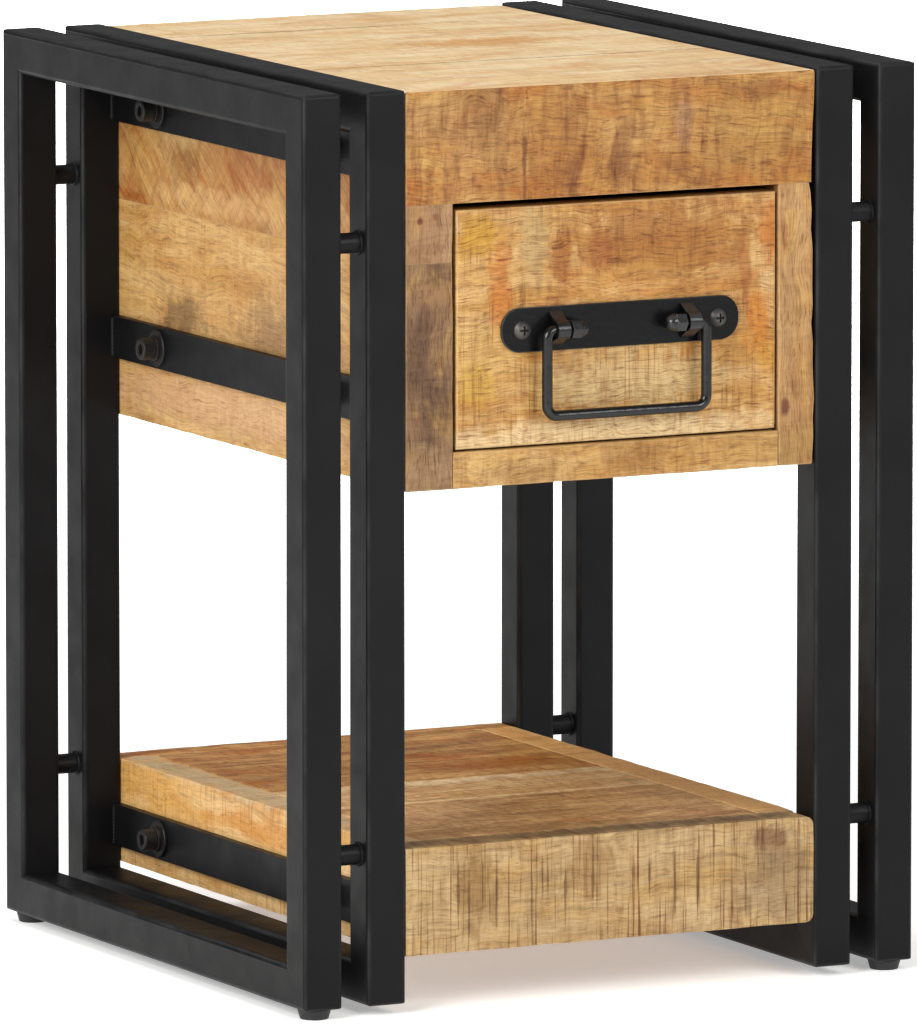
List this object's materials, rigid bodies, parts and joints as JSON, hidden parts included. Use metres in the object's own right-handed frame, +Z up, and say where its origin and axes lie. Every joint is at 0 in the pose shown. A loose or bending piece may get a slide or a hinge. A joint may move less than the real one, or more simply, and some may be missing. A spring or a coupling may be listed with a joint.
{
  "type": "side table with drawer",
  "caption": "Side table: double steel side frames carry a wooden case, whose drawer opens on a hanging bail handle, above a boxed wooden shelf.",
  "frame": {"origin": "on the floor, in the middle of the overall footprint, handle included", "axes": "+Z up, +X to the right seen from the front, -Y the front that the drawer opens to"},
  "size_m": [0.4, 0.4178, 0.538],
  "materials": {
    "black_frame_steel": "satin black powder coat",
    "black_screw_steel": "black oxide, slightly oily",
    "plain_insert_steel": "zinc plated",
    "black_foot_plastic": "matt moulded",
    "black_handle_steel": "semi-gloss black enamel, hand worked",
    "grey_screw_steel": "dull grey",
    "pale_top_wood": "rough mango wood, pale, matt lacquer",
    "case_wood": "rough mango wood with saw marks, matt lacquer",
    "drawer_front_wood": "rough mango wood, orange and cream, matt lacquer",
    "shelf_wood": "rough mango wood with saw marks, matt lacquer",
    "plain_inside_wood": "planed mango wood, unfinished",
    "drawer_bottom_plywood": "thin plywood"
  },
  "bodies": {
    "table": {"bottom_rail": "case_wood", "case_back": "plain_inside_wood", "case_bottom": "plain_inside_wood", "flat_washers": "black_screw_steel", "foot_glides": "black_foot_plastic", "front_fascia": "case_wood", "left_drawer_runner": "plain_inside_wood", "left_inner_bottom_rail": "black_frame_steel", "left_inner_front_leg": "black_frame_steel", "left_inner_rear_leg": "black_frame_steel", "left_inner_top_rail": "black_frame_steel", "left_outer_bottom_rail": "black_frame_steel", "left_outer_front_leg": "black_frame_steel", "left_outer_rear_leg": "black_frame_steel", "left_outer_top_rail": "black_frame_steel", "left_side_lower_plank": "case_wood", "left_side_upper_plank": "case_wood", "left_stile_lower": "case_wood", "left_stile_upper": "case_wood", "middle_straps": "black_frame_steel", "right_drawer_runner": "plain_inside_wood", "right_inner_bottom_rail": "black_frame_steel", "right_inner_front_leg": "black_frame_steel", "right_inner_rear_leg": "black_frame_steel", "right_inner_top_rail": "black_frame_steel", "right_outer_bottom_rail": "black_frame_steel", "right_outer_front_leg": "black_frame_steel", "right_outer_rear_leg": "black_frame_steel", "right_outer_top_rail": "black_frame_steel", "right_side_lower_plank": "case_wood", "right_side_upper_plank": "case_wood", "right_stile": "case_wood", "shelf_back_board": "shelf_wood", "shelf_cleats": "shelf_wood", "shelf_front_board": "shelf_wood", "shelf_front_plank": "shelf_wood", "shelf_left_rail": "shelf_wood", "shelf_middle_plank": "shelf_wood", "shelf_rear_plank": "shelf_wood", "shelf_right_rail": "shelf_wood", "shelf_straps": "black_frame_steel", "spacer_pins": "black_frame_steel", "spring_washers": "black_screw_steel", "strap_screws": "black_screw_steel", "threaded_inserts": "plain_insert_steel", "top_front_plank": "pale_top_wood", "top_middle_plank": "pale_top_wood", "top_rear_plank": "pale_top_wood", "top_straps": "black_frame_steel"},
    "drawer": {"drawer_front": "drawer_front_wood", "drawer_left_side": "plain_inside_wood", "drawer_right_side": "plain_inside_wood", "drawer_back": "plain_inside_wood", "drawer_bottom": "drawer_bottom_plywood", "handle_plate": "black_handle_steel", "handle_lugs": "black_handle_steel", "handle_screws": "grey_screw_steel"},
    "bail": {"bail": "black_handle_steel", "bail_nuts": "black_handle_steel"}
  },
  "joints": [
    {"name": "drawer_slide", "type": "slide", "parent": "table", "child": "drawer", "axis": [0, -1, 0], "range_m": [0, 0.28]},
    {"name": "bail_hinge", "type": "hinge", "parent": "drawer", "child": "bail", "pos_m": [0.0052, -0.20311, 0.39475], "axis": [-1, 0, 0], "range_deg": [-7, 187]}
  ]
}
